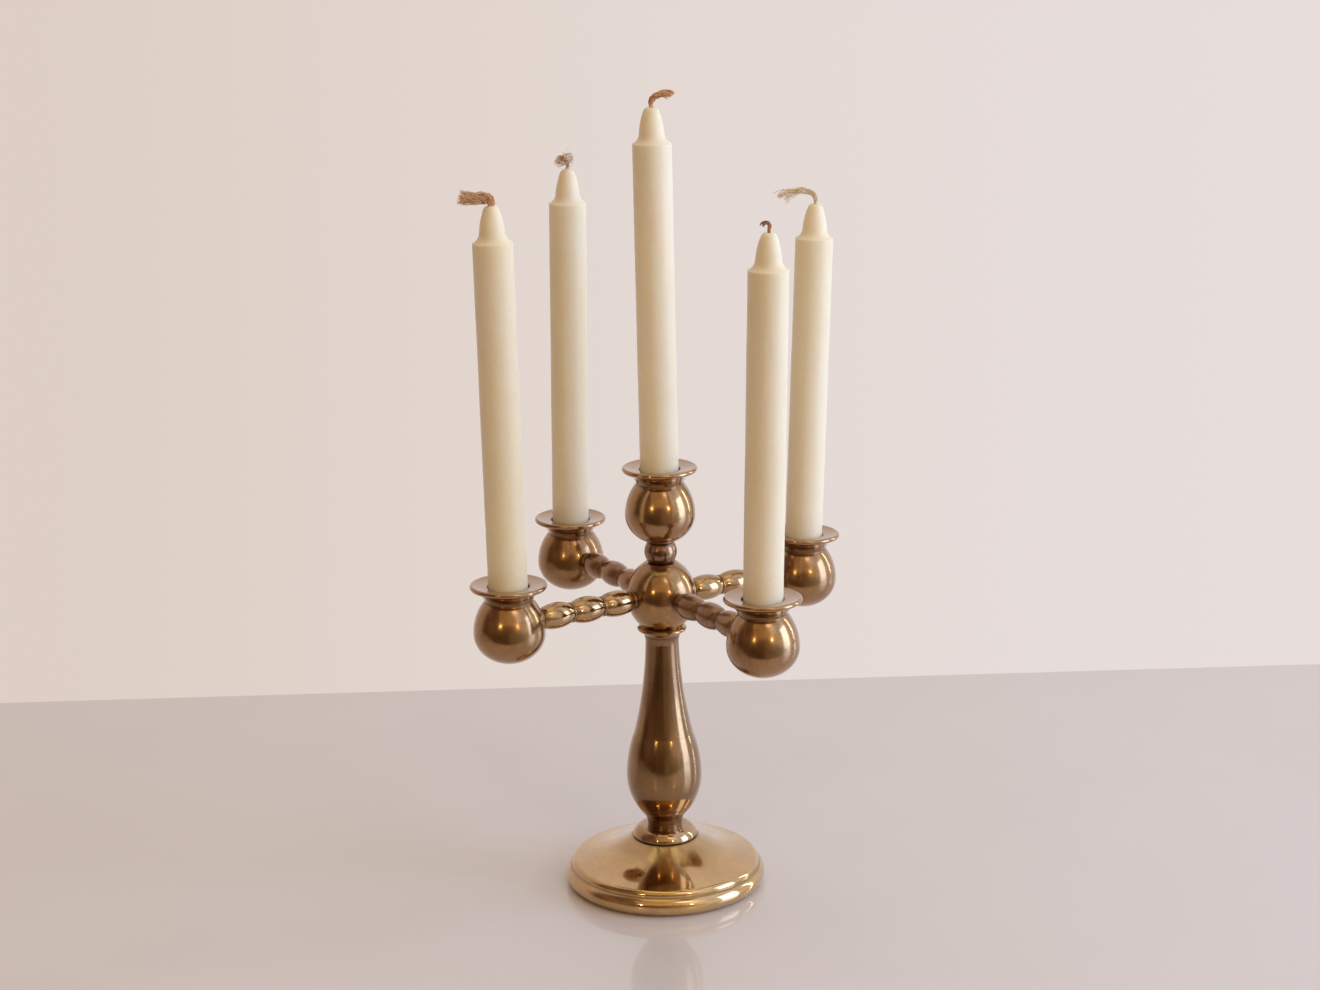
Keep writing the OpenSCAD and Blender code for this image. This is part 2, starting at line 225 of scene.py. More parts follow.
def aged_brass_group():
    """Old brass: bright metal, brown tarnish in clouds, blotches, a waxy film, and grime with painted shade
    in the grooves.
    """
    group = new_group(
        "aged_brass",
        [("Bright", (0.46, 0.262, 0.1)), ("Brown", (0.29, 0.145, 0.05)), ("Film", (0.48, 0.34, 0.25)),
         ("Tarnish", 0.5), ("Mottle", 0.3), ("Dull", 0.06)],
        [("Color", "NodeSocketColor"), ("Roughness", "NodeSocketFloat"), ("Height", "NodeSocketFloat")])
    given = group.nodes.new("NodeGroupInput")
    result = group.nodes.new("NodeGroupOutput")
    point = group.nodes.new("ShaderNodeTexCoord").outputs["Object"]
    grime_and_shade = put(group, "ShaderNodeAttribute", attribute_name="grime_and_shade").outputs["Fac"]
    film = put(group, "ShaderNodeAttribute", attribute_name="film").outputs["Fac"]

    clouds = noise(group, point, 38, 5, 0.6, 0.6)
    cloudy = ramp(group, clouds, [(0.36, 0.0), (0.66, 1.0)])
    blotches = noise(group, point, 170, 6, 0.62, 1.2)
    blotchy = ramp(group, blotches, [(0.47, 0.0), (0.62, 1.0)])
    specks = noise(group, point, 900, 3, 0.5)
    speckled = ramp(group, specks, [(0.62, 0.0), (0.74, 1.0)])

    tarnish = maths(group, "MULTIPLY", cloudy, given.outputs["Tarnish"])
    mottled = maths(group, "MULTIPLY", blotchy, given.outputs["Mottle"])
    brown = maths(group, "ADD", tarnish, mottled, clamp=True)
    colour = mix(group, brown, given.outputs["Bright"], given.outputs["Brown"])
    reddish = mix(group, maths(group, "MULTIPLY", mottled, 0.5), colour, (0.34, 0.13, 0.07))
    dotted = mix(group, maths(group, "MULTIPLY", speckled, 0.35), reddish, (0.12, 0.06, 0.03))
    broken = maths(group, "MULTIPLY", film, ramp(group, blotches, [(0.35, 0.55), (0.6, 1.0)]))
    filmed = mix(group, maths(group, "MULTIPLY", broken, 0.85), dotted, given.outputs["Film"])
    # Grooves, joints and recesses go near-black brown: partly dirt, partly painted shade where less light
    # reaches.
    crevice_dirt_and_shade = maths(group, "POWER", grime_and_shade, 1.3, clamp=True)
    group.links.new(mix(group, maths(group, "MULTIPLY", crevice_dirt_and_shade, 0.72), filmed, (0.075, 0.036, 0.018)),
                    result.inputs["Color"])

    rubbed = noise(group, point, 260, 4, 0.6)
    dull = maths(group, "MULTIPLY_ADD", brown, 0.09)
    group.links.new(given.outputs["Dull"], dull.node.inputs[2])
    worn = maths(group, "MULTIPLY_ADD", rubbed, 0.07)
    group.links.new(dull, worn.node.inputs[2])
    greasy = maths(group, "MULTIPLY_ADD", crevice_dirt_and_shade, 0.35)
    group.links.new(worn, greasy.node.inputs[2])
    waxy = maths(group, "MULTIPLY_ADD", broken, 0.2)
    group.links.new(greasy, waxy.node.inputs[2])
    group.links.new(waxy, result.inputs["Roughness"])

    pits = maths(group, "MULTIPLY", speckled, -0.5)
    waves = maths(group, "MULTIPLY_ADD", noise(group, point, 45, 1, 0.4), 1.0)
    group.links.new(pits, waves.node.inputs[2])
    group.links.new(waves, result.inputs["Height"])
    return group


brass_group = aged_brass_group()


def brass(name, tarnish=0.5, mottle=0.3, bright=(0.46, 0.262, 0.1), brown=(0.29, 0.145, 0.05),
          film=(0.48, 0.34, 0.25), dull=0.06, bump=0.02):
    """The brass finish of one piece, under a trace of clear wax polish."""
    material = bpy.data.materials.new(name)
    material.use_nodes = True
    tree = material.node_tree
    shader = tree.nodes["Principled BSDF"]
    shader.inputs["Metallic"].default_value = 1.0
    shader.inputs["Coat Weight"].default_value = 0.9
    shader.inputs["Coat Roughness"].default_value = 0.03
    aged = put(tree, "ShaderNodeGroup", node_tree=brass_group, Bright=(*bright, 1), Brown=(*brown, 1),
               Film=(*film, 1), Dull=dull, Tarnish=tarnish, Mottle=mottle)
    relief = put(tree, "ShaderNodeBump", Strength=bump, Distance=0.0004)
    tree.links.new(aged.outputs["Height"], relief.inputs["Height"])
    tree.links.new(aged.outputs["Color"], shader.inputs["Base Color"])
    tree.links.new(aged.outputs["Roughness"], shader.inputs["Roughness"])
    tree.links.new(relief.outputs["Normal"], shader.inputs["Normal"])
    return material


def finish_brass(piece, material, *nodes):
    """A brass piece of the stand takes its finish and stands for its CAD nodes."""
    piece.data.materials.append(material)
    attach(piece, "stand")
    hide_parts(*nodes)


foot_low, foot_high = (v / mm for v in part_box("foot"))
foot_r = (foot_high.x - foot_low.x) / 2
foot_h = foot_high.z
edge_r = 5.75
edge_x = foot_r - edge_r
band_inset, band_h, band_lean = 3.5, 3.8, 2.4
groove_w = 0.3
foot_sweep = 2.1
foot_roof = 8
seat_r = 19.5
recess_r, recess_z = 21, foot_h - foot_roof
rod_hole_r = 3.3
edge_top = math.radians(60)
groove = (edge_x + edge_r * math.cos(edge_top), edge_r * (1 + math.sin(edge_top)))
band_foot = (foot_r - band_inset, groove[1] + groove_w)
band_top = (band_foot[0] - band_lean, band_foot[1] + band_h)
foot_outline = (
    [(rod_hole_r, recess_z), (recess_r, recess_z), (recess_r, 0)]
    + [(edge_x + edge_r * math.cos(t), edge_r * (1 + math.sin(t)))
       for t in (math.radians(a) for a in range(-90, 61, 5))]
    + arc(band_foot, band_top, -1)
    + arc(band_top, (seat_r, foot_h), foot_sweep, step=1)
    + [(rod_hole_r, foot_h), (rod_hole_r, recess_z)]
)
# Dirt and painted shade in the groove above the edge, round the seat of the foot ring and in the recess
# underneath.
foot_dirt_and_shade = [groove_ring(groove[0], groove[1] + 0.1, 0.6), groove_ring(seat_r - 0.5, foot_h, 1.6),
             groove_ring(recess_r, recess_z, 6)]
stain_height = 12
stains = [((x, y, stain_height), (0, 0, 1), 0, size) for x, y, size in
          ((-36, -24, 0.5), (-44, 6, 0.4), (34, -10, 0.55), (12, 40, 0.6))]
foot = turn("foot_turned", foot_outline, foot_dirt_and_shade, steps=192, films=stains)
foot_brass = brass("foot_brass", tarnish=0.3, mottle=0.05, bright=(0.69, 0.46, 0.205),
                   film=(0.28, 0.15, 0.06), dull=0.05, bump=0.006)
finish_brass(foot, foot_brass, "foot")

# ---------------------------------------------------------------------------
# Foot ring
# A loose turned brass ring between the foot and the stem, low and rounded,
# clamped by the tie rod that runs up through the whole stand.
# ---------------------------------------------------------------------------
ring_low, ring_high = (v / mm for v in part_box("foot_ring"))
ring_r = ring_high.x
ring_top_r = 11.6
ring_z, stem_z = ring_low.z, ring_high.z
ring_outline = (
    [(rod_hole_r, ring_z)]
    + arc((ring_r - 0.6, ring_z), (ring_r, ring_z + 1.2), -0.15)
    + arc((ring_r, ring_z + 1.2), (ring_top_r, stem_z), -1.7)[1:]
    + [(rod_hole_r, stem_z), (rod_hole_r, ring_z)]
)
# Dirt and painted shade where the ring sits on the foot and meets the stem.
ring_dirt_and_shade = [groove_ring(ring_r - 0.4, ring_z, 0.8), groove_ring(ring_top_r - 1.2, stem_z, 1.2)]
foot_ring = turn("foot_ring_turned", ring_outline, ring_dirt_and_shade)
foot_ring_brass = brass("foot_ring_brass", tarnish=0.5, mottle=0.25, bright=(0.52, 0.34, 0.17))
finish_brass(foot_ring, foot_ring_brass, "foot_ring")

# ---------------------------------------------------------------------------
# Stem
# A vase-shaped turning: a cove on the ring, a full belly, then a long taper
# to the waist under the collar. The darkest of the large pieces, with dirt
# and painted shade at its foot and top where it meets the rings.
# ---------------------------------------------------------------------------
stem_low, stem_high = (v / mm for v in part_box("stem"))
stem_h = stem_high.z - stem_low.z
belly_r = stem_high.x
belly_z = 31.6
stem_foot_r, waist_r, stem_top_r = 9.9, 9.7, 10.4
cove_depth, cove_drop = 8.7, 23.6
taper_depth, taper_rise = 5, 25.9
waist_drop = 5.6
cove = (belly_r - cove_depth, belly_z - cove_drop)
shoulder = (belly_r - taper_depth, belly_z + taper_rise)
waist = (waist_r, stem_h - waist_drop)
stem_shape = (
    arc((stem_foot_r, 0), cove, 0.9, step=2)
    + arc(cove, (belly_r, belly_z), -2.3, step=2)[1:]
    + arc((belly_r, belly_z), shoulder, -1.1, step=1)[1:]
    + arc(shoulder, waist, 1.4, step=1)[1:]
    + arc(waist, (stem_top_r, stem_h), 0.3, step=2)[1:]
)
stem_outline = (
    [(rod_hole_r, stem_z)]
    + [(r, stem_z + z) for r, z in stem_shape]
    + [(rod_hole_r, stem_z + stem_h), (rod_hole_r, stem_z)]
)
stem_dirt_and_shade = [groove_ring(stem_foot_r - 0.8, stem_z + 2.5, 3.2),
             groove_ring(stem_top_r, stem_z + stem_h, 1.2)]
stem = turn("stem_turned", stem_outline, stem_dirt_and_shade, steps=160)
stem_brass = brass("stem_brass", tarnish=0.6, mottle=0.3, bright=(0.32, 0.185, 0.07),
                   brown=(0.19, 0.095, 0.035), dull=0.1)
finish_brass(stem, stem_brass, "stem")

# ---------------------------------------------------------------------------
# Collar
# A thin flared saucer of brass under the hub ball. Its round lip slopes up
# to the ball, which sits in a dish. Dirt and painted shade darken where it
# meets the stem and the floor of the dish.
# ---------------------------------------------------------------------------
collar_low, collar_high = (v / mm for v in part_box("hub_collar"))
collar_z, collar_top = collar_low.z, collar_high.z
collar_r = collar_high.x
lip_edge = 1.1
lip_drop = 0.6
collar_floor = 3
hub_low, hub_high = (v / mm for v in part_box("hub"))
hub_r = hub_high.x
hub_half_h = 22
hub_foot_cut = 1.5
hub_foot_z, hub_top_z = hub_low.z, hub_high.z
arm_z = hub_foot_z + hub_half_h - hub_foot_cut
hub_foot_r = hub_r * math.sqrt(1 - ((arm_z - hub_foot_z) / hub_half_h) ** 2)
lip_x = collar_r - lip_edge
lip_middle = collar_top - lip_drop - lip_edge
seat_mouth_r = hub_r * math.sqrt(1 - ((arm_z - collar_top) / hub_half_h) ** 2)
collar_outline = (
    [(rod_hole_r, collar_z)]
    + arc((stem_top_r, collar_z), (lip_x, lip_middle - lip_edge), 0.5)
    + [(lip_x + lip_edge * math.cos(t), lip_middle + lip_edge * math.sin(t))
       for t in (math.radians(a) for a in range(-80, 61, 10))]
    + [(seat_mouth_r, collar_top), (hub_foot_r, collar_z + collar_floor),
       (rod_hole_r, collar_z + collar_floor), (rod_hole_r, collar_z)]
)
collar_dirt_and_shade = [groove_ring(stem_top_r + 0.2, collar_z, 1.1),
               groove_ring(hub_foot_r, collar_z + collar_floor, 0.5)]
collar = turn("hub_collar_turned", collar_outline, collar_dirt_and_shade, round_off=0.15)
finish_brass(collar, brass("collar_brass", tarnish=0.6, mottle=0.35), "hub_collar")

# ---------------------------------------------------------------------------
# Hub
# A heavy brass ball, faced flat above and below, drilled and tapped on four
# sides for the arms. Dirt and painted shade ring the places where the arms
# enter, its foot and the seat of the bead.
# ---------------------------------------------------------------------------
arms = 4
droop = (1.5, -0.6, -0.4, -0.2)


def level_arm(i):
    """The frame of arm i at the hub's middle: its X axis runs out along the arm and droops with it."""
    quarter = Matrix.Rotation(math.tau / arms * i, 4, "Z")
    return quarter @ Matrix.Translation((0, 0, arm_z * mm)) @ Matrix.Rotation(math.radians(droop[i]), 4, "Y")


def along_arm(i):
    """Lays an upright piece along arm i, from the hub outwards."""
    return level_arm(i) @ Matrix.Rotation(math.radians(90), 4, "Y")


def entry_ring(place, distance, radius, width):
    """A ring of dirt and painted shade where an arm enters a piece, at a distance along the arm."""
    middle = place @ Vector((0, 0, distance * mm)) / mm
    axis = (place.to_3x3() @ Vector((0, 0, 1))).normalized()
    return (middle, axis, radius, width)


hub_outline = (
    [(rod_hole_r, hub_foot_z)]
    + oval(hub_r, hub_half_h, arm_z, hub_foot_z, hub_top_z, step=3)
    + [(rod_hole_r, hub_top_z), (rod_hole_r, hub_foot_z)]
)
arm_end_r = 5
arm_leaves_hub = 19.9
bead_seat_r = 7.5
hub_dirt_and_shade = [entry_ring(along_arm(i), arm_leaves_hub, arm_end_r, 1.9) for i in range(arms)]
hub_dirt_and_shade += [groove_ring(hub_foot_r, hub_foot_z, 0.4), groove_ring(bead_seat_r, hub_top_z, 2.8)]
hub = turn("hub_turned", hub_outline, hub_dirt_and_shade, steps=160)
hub_brass = brass("hub_brass", tarnish=0.5, mottle=0.3, bright=(0.42, 0.24, 0.09), dull=0.12)
finish_brass(hub, hub_brass, "hub")

# ---------------------------------------------------------------------------
# Neck bead
# A small flattened ball between the hub and the centre cup, dark with old
# tarnish because a polishing cloth doesn't reach it.
# ---------------------------------------------------------------------------
bead_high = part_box("neck_bead")[1] / mm
bead_r = bead_high.x
bead_face_r = 7
bead_mid = hub_top_z + math.sqrt(bead_r ** 2 - bead_face_r ** 2)
cup_foot_z = bead_high.z
bead_outline = (
    [(rod_hole_r, hub_top_z)]
    + oval(bead_r, bead_r, bead_mid, hub_top_z, cup_foot_z)
    + [(rod_hole_r, cup_foot_z), (rod_hole_r, hub_top_z)]
)
# Dirt and painted shade where the bead meets the hub and the centre cup.
bead_dirt_and_shade = [groove_ring(bead_face_r, hub_top_z, 1.4), groove_ring(bead_face_r, cup_foot_z, 1.4)]
neck_bead = turn("neck_bead_turned", bead_outline, bead_dirt_and_shade, steps=96)
neck_bead_brass = brass("neck_bead_brass", tarnish=0.9, mottle=0.7, bright=(0.36, 0.21, 0.1),
                        brown=(0.17, 0.08, 0.045), dull=0.12, bump=0.08)
finish_brass(neck_bead, neck_bead_brass, "neck_bead")

# ---------------------------------------------------------------------------
# Cups
# Five turned brass balls, each with a cove above it, a flared lip with a
# round edge and a dished top, and a plain bored socket for a candle. The
# centre cup stands on the neck bead; the others end the arms.
# ---------------------------------------------------------------------------
cup_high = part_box("cup_centre")[1] / mm
cup_r = 20
cup_low_h, cup_foot_cut = 17.2, 1.1
neck_r, neck_z = 13.4, 18.4
cup_high_h = neck_z / math.sqrt(1 - (neck_r / cup_r) ** 2)
lip_r, lip_t, lip_dish = cup_high.x, 2.8, 1.3
centre_cup_z = cup_foot_z + cup_low_h - cup_foot_cut
lip_top = cup_high.z - centre_cup_z
dish_z = lip_top - lip_dish
socket_r, socket_floor = 11.5, 2.0
arm_reach, arm_rise = 100, 4.4
arm_meets_cup = 18.9


def cup(name, foot_z, place, ring_marks, finish, node):
    """A cup in its own frame, whose zero is the height of the ball's widest place."""
    edge = lip_t / 2
    edge_x = lip_r - edge
    outline = (
        [(0, foot_z)]
        + oval(cup_r, cup_low_h, 0, foot_z, 0, step=3)
        + oval(cup_r, cup_high_h, 0, 0, neck_z, step=3)[1:]
        + arc((neck_r, neck_z + 0.4), (edge_x, lip_top - lip_t), 0.9, step=5)
        + [(edge_x + edge * math.cos(t), lip_top - edge + edge * math.sin(t))
           for t in (math.radians(a) for a in range(-80, 91, 10))]
        + arc((edge_x, lip_top), (socket_r + 0.5, dish_z), 0.25, step=2)[1:]
        + [(socket_r, dish_z - 0.5), (socket_r, socket_floor), (0, socket_floor)]
    )
    # Dirt and painted shade under the cove, at the socket's mouth and down inside the socket.
    rings = [groove_ring(neck_r, neck_z + 0.2, 1.2), groove_ring(socket_r, dish_z, 0.5),
             groove_ring(socket_r, socket_floor, 9), *ring_marks]
    piece = turn(name, outline, rings, place, films=[groove_ring((lip_r + socket_r) / 2, lip_top, 3.5)])
    finish_brass(piece, finish, node)


centre_foot = cup_foot_cut - cup_low_h
centre_brass = brass("cup_centre_brass", tarnish=0.5, mottle=0.25)
cup("cup_centre_turned", centre_foot, Matrix.Translation((0, 0, centre_cup_z * mm)),
    [groove_ring(bead_face_r, centre_foot, 2)], centre_brass, "cup_centre")
for i in range(arms):
    hung = level_arm(i) @ Matrix.Translation((arm_reach * mm, 0, -arm_rise * mm))
    # Dirt and painted shade where the arm enters the cup.
    entry = [((-arm_meets_cup, 0, arm_rise), (1, 0, 0), arm_end_r, 1.3)]
    cup_brass = brass(f"cup_{i + 1}_brass", tarnish=(0.5, 0.65, 0.45, 0.55)[i],
                      mottle=(0.25, 0.4, 0.25, 0.35)[i])
    cup(f"cup_{i + 1}_turned", -cup_low_h, hung, entry, cup_brass, f"cup_{i + 1}")

# ---------------------------------------------------------------------------
# Arms
# Each arm is one turned bar of three barrels with a thin bead ring between
# them and a plain end at each side. A stud holds it in the hub, and a pin
# turned on its outer end holds the cup. Dirt and painted shade darken the
# grooves, and two of the arms are crusted with old tarnish where nobody
# polishes.
# ---------------------------------------------------------------------------
barrel_r, barrel_end_r = 7.4, 5.3
barrels = 3
bead_ring_w, bead_ring_bulge = 1.4, 0.5
plain_end = 1.8
hub_face = hub_r * math.sqrt(1 - ((arm_end_r + 0.15) / hub_half_h) ** 2) - 0.4
cup_face = cup_r * math.sqrt(1 - ((arm_rise + arm_end_r + 0.15) / cup_high_h) ** 2) - 0.1
arm_l = arm_reach - hub_face - cup_face
barrel_l = (arm_l - 2 * plain_end - (barrels - 1) * bead_ring_w) / barrels
barrel_long = barrel_l / 2 / math.sqrt(1 - (barrel_end_r / barrel_r) ** 2)

arm_outline = [(0, 0), (arm_end_r, 0), (arm_end_r, plain_end)]
arm_dirt_and_shade = [groove_ring(arm_end_r, 0.6, 0.9), groove_ring(arm_end_r, plain_end, 0.8),
            groove_ring(arm_end_r, arm_l - plain_end, 0.8), groove_ring(arm_end_r, arm_l - 0.6, 0.9)]
for k in range(barrels):
    start = plain_end + (barrel_l + bead_ring_w) * k
    arm_outline += oval(barrel_r, barrel_long, start + barrel_l / 2, start, start + barrel_l, step=4)
    if k < barrels - 1:
        arm_outline += arc((barrel_end_r, start + barrel_l + 0.05),
                           (barrel_end_r, start + barrel_l + bead_ring_w - 0.05), -bead_ring_bulge, step=15)
        arm_dirt_and_shade += [groove_ring(barrel_end_r, start + barrel_l, 0.6),
                     groove_ring(barrel_end_r, start + barrel_l + bead_ring_w, 0.6)]
arm_outline += [(arm_end_r, arm_l - plain_end), (arm_end_r, arm_l), (0, arm_l)]
arm_films = ((), (0.4 * arm_l, 0.7 * arm_l, arm_l), (), (0, 0.25 * arm_l, 0.5 * arm_l, 0.75 * arm_l))
for i in range(arms):
    place = along_arm(i) @ Matrix.Translation((0, 0, hub_face * mm))
    films = [groove_ring(barrel_r, z, 6) for z in arm_films[i]]
    arm = turn(f"arm_{i + 1}_turned", arm_outline, arm_dirt_and_shade, place, round_off=0.12, steps=96, films=films)
    arm_brass = brass(f"arm_{i + 1}_brass", tarnish=(0.45, 0.8, 0.4, 0.9)[i],
                      mottle=(0.25, 0.7, 0.25, 0.9)[i],
                      bright=((0.50, 0.32, 0.14), (0.40, 0.225, 0.09))[i % 2], film=(0.27, 0.145, 0.085),
                      dull=(0.05, 0.13, 0.05, 0.18)[i], bump=(0.02, 0.1, 0.02, 0.16)[i])
    finish_brass(arm, arm_brass, f"arm_{i + 1}")

# ---------------------------------------------------------------------------
# Fixings
# The steel tie rod with its nut and washer in the recess of the foot, and
# the four steel studs that hold the arms in the hub. Plain, a little rusty.
# ---------------------------------------------------------------------------


def steel():
    """Bright steel gone grey, with rust in small patches."""
    material = bpy.data.materials.new("fixing_steel")
    material.use_nodes = True
    tree = material.node_tree
    shader = tree.nodes["Principled BSDF"]
    point = tree.nodes.new("ShaderNodeTexCoord").outputs["Object"]
    rust = ramp(tree, noise(tree, point, 420, 6, 0.65), [(0.55, 0.0), (0.68, 1.0)])
    colour = mix(tree, rust, (0.46, 0.45, 0.43), (0.16, 0.07, 0.03))
    tree.links.new(colour, shader.inputs["Base Color"])
    tree.links.new(ramp(tree, rust, [(0.0, 1.0), (1.0, 0.1)]), shader.inputs["Metallic"])
    tree.links.new(ramp(tree, rust, [(0.0, 0.32), (1.0, 0.8)]), shader.inputs["Roughness"])
    relief = put(tree, "ShaderNodeBump", Strength=0.4, Distance=0.0002)
    tree.links.new(noise(tree, point, 1500, 3), relief.inputs["Height"])
    tree.links.new(relief.outputs["Normal"], shader.inputs["Normal"])
    return material


fixing_steel = steel()
for node in ("tie_rod", "foot_nut", "foot_washer", "arm_studs"):
    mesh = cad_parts[node].data
    mesh.materials.clear()
    mesh.materials.append(fixing_steel)

# ---------------------------------------------------------------------------
# Candles
# Ivory dinner candles, cast in a mould that gives the short stepped tip
# round the wick. Each stands in its socket with a little lean. The wax is
# slightly translucent, with handling dents, dust specks and soft waves.
# ---------------------------------------------------------------------------
candle_names = ("centre", "1", "2", "3", "4")
candle_l = (207, 200, 215, 213.5, 202)
candle_lean = ((-0.4, 0.2), (2.2, -0.4), (0.5, -0.8), (-0.5, 0.6), (1, -0.5))
candle_r = 11
tip_h, tip_r, tip_top_r = 19.8, 7.1, 4.6
shoulder_share, taper_share = 0.28, 0.87
socket_depth = dish_z - socket_floor
candle_foot_gap = 0.3


def in_socket(k):
    """Stands a candle or its wick in socket k, 0 for the centre one."""
    middle = socket_floor + socket_depth / 2
    if k == 0:
        pivot = Matrix.Translation((0, 0, (centre_cup_z + middle) * mm))
    else:
        pivot = Matrix.Translation(level_arm(k - 1) @ Vector((arm_reach * mm, 0, (middle - arm_rise) * mm)))
    lean_x, lean_y = (math.radians(a) for a in candle_lean[k])
    return (pivot @ Matrix.Rotation(lean_x, 4, "Y") @ Matrix.Rotation(-lean_y, 4, "X")
            @ Matrix.Translation((0, 0, (candle_foot_gap - socket_depth / 2) * mm)))


def wax():
    """Ivory wax: warm clouds, faint drag lines down the length, specks of dust, light under the skin."""
    material = bpy.data.materials.new("candle_wax")
    material.use_nodes = True
    tree = material.node_tree
    shader = tree.nodes["Principled BSDF"]
    shader.inputs["Subsurface Weight"].default_value = 0.6
    shader.inputs["Subsurface Radius"].default_value = (1.0, 0.6, 0.28)
    shader.inputs["Subsurface Scale"].default_value = 0.008
    shader.inputs["IOR"].default_value = 1.44
    point = tree.nodes.new("ShaderNodeTexCoord").outputs["Object"]
    cloudy = ramp(tree, noise(tree, point, 16, 3, 0.5, 0.3), [(0.3, 0.0), (0.7, 1.0)])
    colour = mix(tree, cloudy, (0.93, 0.855, 0.70), (0.90, 0.825, 0.62))
    patches = ramp(tree, noise(tree, point, 70, 3, 0.5, 0.5), [(0.5, 0.0), (0.75, 1.0)])
    colour = mix(tree, maths(tree, "MULTIPLY", patches, 0.15), colour, (0.82, 0.72, 0.46))
    dust = ramp(tree, noise(tree, point, 1300, 2, 0.5), [(0.71, 0.0), (0.76, 1.0)])
    sparse = ramp(tree, noise(tree, point, 60, 2, 0.5), [(0.5, 0.0), (0.62, 1.0)])
    dusty = maths(tree, "MULTIPLY", maths(tree, "MULTIPLY", dust, sparse), 0.7)
    colour = mix(tree, dusty, colour, (0.30, 0.22, 0.12))
    tree.links.new(colour, shader.inputs["Base Color"])
    tree.links.new(ramp(tree, patches, [(0.0, 0.36), (1.0, 0.5)]), shader.inputs["Roughness"])
    stretched = put(tree, "ShaderNodeMapping", Scale=(1, 1, 0.12))
    tree.links.new(point, stretched.inputs["Vector"])
    drag = noise(tree, stretched.outputs["Vector"], 420, 3, 0.5)
    grain = noise(tree, point, 700, 3, 0.5)
    relief = put(tree, "ShaderNodeBump", Strength=0.12, Distance=0.0003)
    tree.links.new(maths(tree, "ADD", drag, grain), relief.inputs["Height"])
    tree.links.new(relief.outputs["Normal"], shader.inputs["Normal"])
    return material


def handle(mesh, dents, seed):
    """Gives a cast candle soft waves, at most a fifth of a millimetre deep, and its dents."""
    at = points_of(mesh)
    pressed = np.array([0.11 + 0.11 * noise_of(Vector((x, y, 0.3 * z)) * 0.11 + seed) for x, y, z in at])
    for centre, size, depth in dents:
        pressed += depth * np.exp(-((at - np.array(centre)) ** 2).sum(1) / size ** 2)
    across = at * np.array((1, 1, 0))
    reach = np.linalg.norm(across, axis=1, keepdims=True)
    pressed = np.where(reach > 2, pressed[:, None], 0)
    at -= across / np.maximum(reach, 1) * pressed
    mesh.vertices.foreach_set("co", (at * mm).ravel())


candle_wax = wax()
candle_draw = random.Random(5)
for k, name in enumerate(candle_names):
    length = candle_l[k]
    side = [(candle_r, length * i / 60) for i in range(1, 61)]
    outline = (
        [(0, 0), (candle_r - 0.8, 0), (candle_r, 0.8)]
        + side
        + arc((candle_r - 0.4, length + 0.3), (tip_r, length + shoulder_share * tip_h), 0.9, step=8)
        + arc((tip_r, length + (shoulder_share + 0.01) * tip_h), (tip_top_r, length + taper_share * tip_h),
              -0.4, step=3)
        + arc((tip_top_r - 0.05, length + (taper_share + 0.005) * tip_h), (tip_top_r / 2, length + tip_h),
              -0.4, step=10)
        + [(0.8, length + tip_h - 0.3), (0, length + tip_h - 0.3)]
    )
    candle = turn(f"candle_{name}_cast", outline, round_off=0.5, steps=96)
    dents = []
    for _ in range(9):
        angle = candle_draw.uniform(0, math.tau)
        height = candle_draw.uniform(30, length)
        centre = (candle_r * math.cos(angle), candle_r * math.sin(angle), height)
        dents.append((centre, candle_draw.uniform(1.2, 3.2), candle_draw.uniform(0.08, 0.3)))
    handle(candle.data, dents, Vector((3.1 * k, 7.7, 1.3)))
    candle.data.transform(in_socket(k))
    candle.data.materials.append(candle_wax)
    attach(candle, f"candle_{name}_body")
    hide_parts(f"candle_{name}")

# ---------------------------------------------------------------------------
# Wicks
# Each wick is a cotton cord of many thin twisted yarns, cast into its candle
# and left long. The free ends have flopped over, and their yarns fray.
# ---------------------------------------------------------------------------
wick_r = 0.9
wick_routes = (
    ((0, 0, 1.62), (0.3, -0.2, 3.645), (2.2, -1.4, 5.832), (5, -3.2, 6.966), (8, -5.1, 6.642),
     (9.4, -6, 5.184)),
    ((0.2, -0.1, 2), (-0.6, 0.4, 4.6), (-3, 1.9, 6.6), (-6.6, 4.2, 7.2), (-11, 7.1, 6), (-15, 9.7, 4.4),
     (-17, 11, 1.6)),
    ((0, 0, 2), (-1, 0.6, 4), (-3.5, 2.2, 6.5), (-5, 3.2, 4.6), (-3, 2, 3.6), (-1.2, 0.8, 6.2),
     (1.2, -0.6, 7.4), (0.6, -0.2, 5.2), (-1.8, 1.2, 5.4), (-4.4, 2.8, 7.8)),
    ((0, 0, 1.6), (-1, 0.6, 3.4), (-4, 2.6, 4), (-8, 5.2, 3.9), (-11.6, 7.5, 4.6), (-14.4, 9.3, 5.6)),
    ((0, 0, 1.8), (0.2, -0.1, 3.6), (-0.8, 0.5, 5), (-2.6, 1.7, 4.4), (-3.4, 2.2, 3)),
)


def smooth_route(points, count):
    """Evenly numbered points of a curve that passes through every given point."""
    ends = [points[0]] + list(points) + [points[-1]]
    route = []
    for i in range(count):
        place = i / (count - 1) * (len(points) - 1)
        j = min(int(place), len(points) - 2)
        t = place - j
        a, b, c, d = ends[j:j + 4]
        route.append((b * 2 + (c - a) * t + (a * 2 - b * 5 + c * 4 - d) * t * t
                      + (b * 3 - a - c * 3 + d) * t * t * t) / 2)
    return route


def strand(curve, points, radii):
    """Adds one round strand to a curve."""
    spline = curve.splines.new("POLY")
    spline.points.add(len(points) - 1)
    for point, place, radius in zip(spline.points, points, radii):
        point.co = (*(place * mm), 1)
        point.radius = radius


